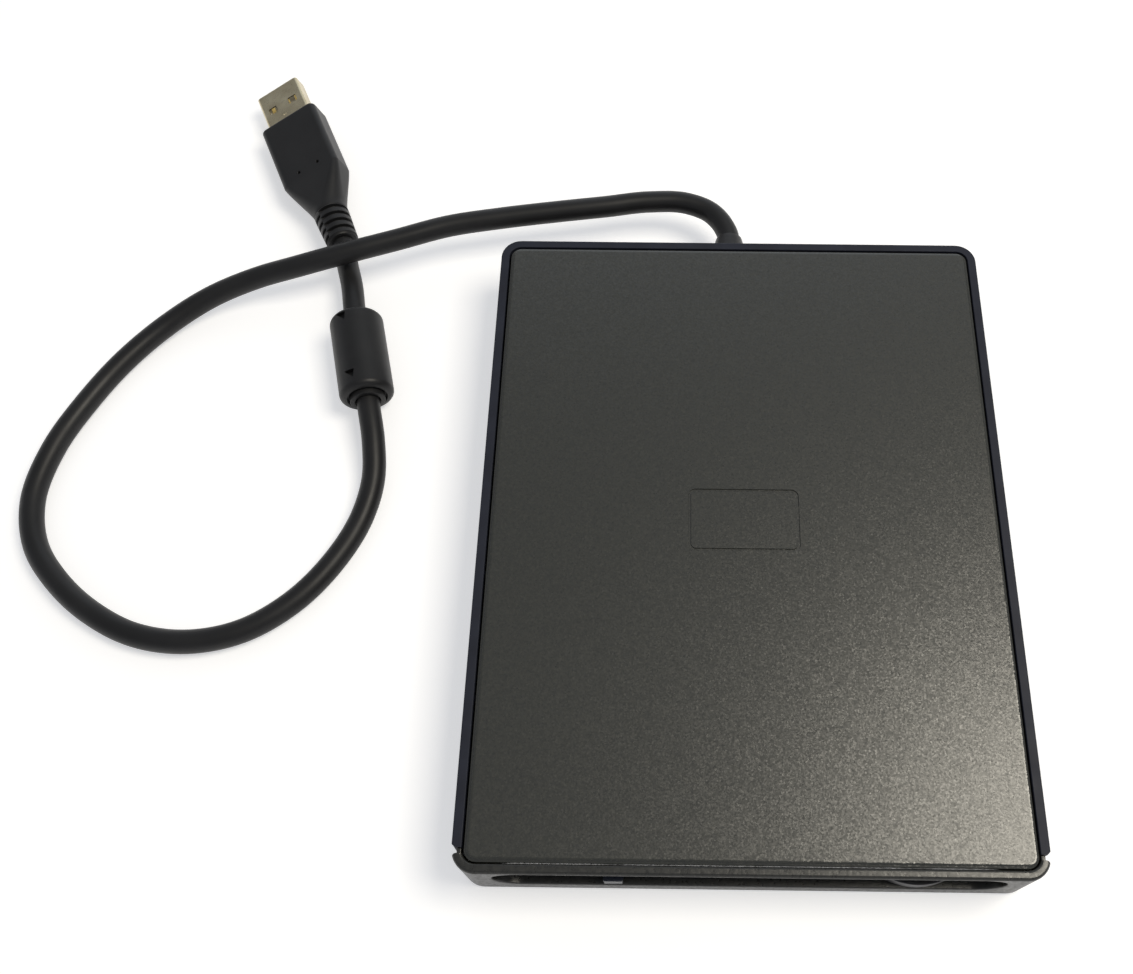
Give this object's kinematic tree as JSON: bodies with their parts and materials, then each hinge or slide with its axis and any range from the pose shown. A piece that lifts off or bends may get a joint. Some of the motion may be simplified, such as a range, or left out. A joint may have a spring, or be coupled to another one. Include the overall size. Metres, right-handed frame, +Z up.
{
  "type": "external floppy disk drive",
  "caption": "Slim table-top floppy disk drive: flat case with a recessed front slot, eject button and status light, and a short captive cord with a ferrite sleeve and a rectangular plug.",
  "frame": {"origin": "middle of the case's footprint, on the surface that the four feet stand on", "axes": "+Z up, the front with its slot faces -Y, +X to the right as seen from the front"},
  "size_m": [0.2149, 0.2013, 0.018],
  "materials": {
    "case_black": "moulded, fine texture",
    "cover_charcoal": "fine sparkling texture",
    "bezel_charcoal": "moulded, satin",
    "drive_black": "moulded, satin",
    "light_pipe_grey": "smoked clear",
    "soft_black": "satin",
    "foot_rubber": "matt",
    "zinc_steel": "zinc plated sheet",
    "bright_steel": "ground",
    "nickel": "plated, satin",
    "gold_contact": "gold plated",
    "bronze": "sintered",
    "copper": "enamelled wire",
    "magnet": "pressed ferrite",
    "ferrite": "sintered",
    "board_green": "solder mask",
    "chip_black": "moulded",
    "nylon_white": "moulded",
    "ribbon_grey": "laminate",
    "wire_colours": "insulation",
    "head_ceramic": "polished",
    "led_clear": "clear"
  },
  "bodies": {
    "root": {"bottom_case": "case_black", "top_cover": "cover_charcoal", "front_bezel": "bezel_charcoal", "rubber_feet": "foot_rubber", "case_screws": "zinc_steel", "drive_faceplate": "drive_black", "chassis": "zinc_steel", "module_screws": "zinc_steel", "module_cover": "zinc_steel", "logic_board": "board_green", "board_chips": "chip_black", "switch_bodies": "chip_black", "logic_socket": "nylon_white", "usb_board": "board_green", "usb_chips": "chip_black", "usb_socket": "nylon_white", "cord_header": "nylon_white", "board_screws": "zinc_steel", "ribbon_cable": "ribbon_grey", "spindle_bearing": "bronze", "spindle_stator": "zinc_steel", "spindle_coils": "copper", "stepper_motor": "zinc_steel", "stepper_bracket": "zinc_steel", "guide_rod": "bright_steel", "rod_clamps": "drive_black", "light_pipe": "light_pipe_grey", "activity_led": "led_clear", "eject_spring": "bright_steel", "cord_boot": "soft_black", "cord_lead": "soft_black", "cord_wires": "wire_colours", "usb_cord": "soft_black", "ferrite_sleeve": "soft_black", "ferrite_core": "ferrite", "plug_body": "soft_black", "plug_shell": "nickel", "plug_insulator": "nylon_white", "plug_contacts": "gold_contact"},
    "slider": {"eject_button": "drive_black", "slider_plate": "zinc_steel"},
    "holder": {"disk_holder": "zinc_steel"},
    "carriage": {"head_carriage": "drive_black", "lower_head": "head_ceramic", "arm_pin": "bright_steel"},
    "head_arm": {"head_arm": "drive_black", "upper_head": "head_ceramic"},
    "leadscrew": {"leadscrew": "bronze"},
    "spindle": {"spindle_rotor": "zinc_steel", "rotor_magnet": "magnet", "drive_pin": "bright_steel"},
    "lever": {"shutter_lever": "zinc_steel"},
    "door": {"slot_door": "drive_black"},
    "disk_plunger": {"disk_plunger": "nylon_white"},
    "protect_plunger": {"protect_plunger": "nylon_white"},
    "density_plunger": {"density_plunger": "nylon_white"}
  },
  "joints": [
    {"name": "eject_slide", "type": "slide", "parent": "root", "child": "slider", "axis": [0, -1, 0], "range_m": [0, 0.005], "deforming": ["eject_spring"]},
    {"name": "holder_drop", "type": "slide", "parent": "root", "child": "holder", "axis": [0, 0, -1], "range_m": [0, 0.0022]},
    {"name": "head_slide", "type": "slide", "parent": "root", "child": "carriage", "axis": [0, -1, 0], "range_m": [0, 0.015]},
    {"name": "arm_lift", "type": "hinge", "parent": "carriage", "child": "head_arm", "pos_m": [0, 0.0493, 0.0132], "axis": [1, 0, 0], "range_deg": [0, 9.02]},
    {"name": "leadscrew_turn", "type": "hinge", "parent": "root", "child": "leadscrew", "pos_m": [0.019, 0.0407, 0.0087], "axis": [0, 1, 0], "range_deg": [0, 1440.2]},
    {"name": "spindle_spin", "type": "hinge", "parent": "root", "child": "spindle", "pos_m": [0, -0.016, 0.0068], "axis": [0, 0, 1], "continuous": true},
    {"name": "lever_swing", "type": "hinge", "parent": "root", "child": "lever", "pos_m": [0.04, 0.0349, 0.0103], "axis": [0, 0, -1], "range_deg": [0, 25], "stiffness_Nm_per_rad": 0.002},
    {"name": "door_swing", "type": "hinge", "parent": "root", "child": "door", "pos_m": [0, -0.0668, 0.0142], "axis": [1, 0, 0], "range_deg": [0, 78], "stiffness_Nm_per_rad": 0.0001},
    {"name": "disk_feel", "type": "slide", "parent": "root", "child": "disk_plunger", "axis": [0, 0, -1], "range_m": [0, 0.001], "stiffness_N_per_m": 40},
    {"name": "protect_feel", "type": "slide", "parent": "root", "child": "protect_plunger", "axis": [0, 0, -1], "range_m": [0, 0.001], "stiffness_N_per_m": 40},
    {"name": "density_feel", "type": "slide", "parent": "root", "child": "density_plunger", "axis": [0, 0, -1], "range_m": [0, 0.001], "stiffness_N_per_m": 40}
  ],
  "couplings": [
    {"joint": "holder_drop", "follows": "eject_slide", "ratio": 0.44},
    {"joint": "arm_lift", "follows": "eject_slide", "rad_per_m": 31.416},
    {"joint": "leadscrew_turn", "follows": "head_slide", "rad_per_m": 1675.5}
  ]
}
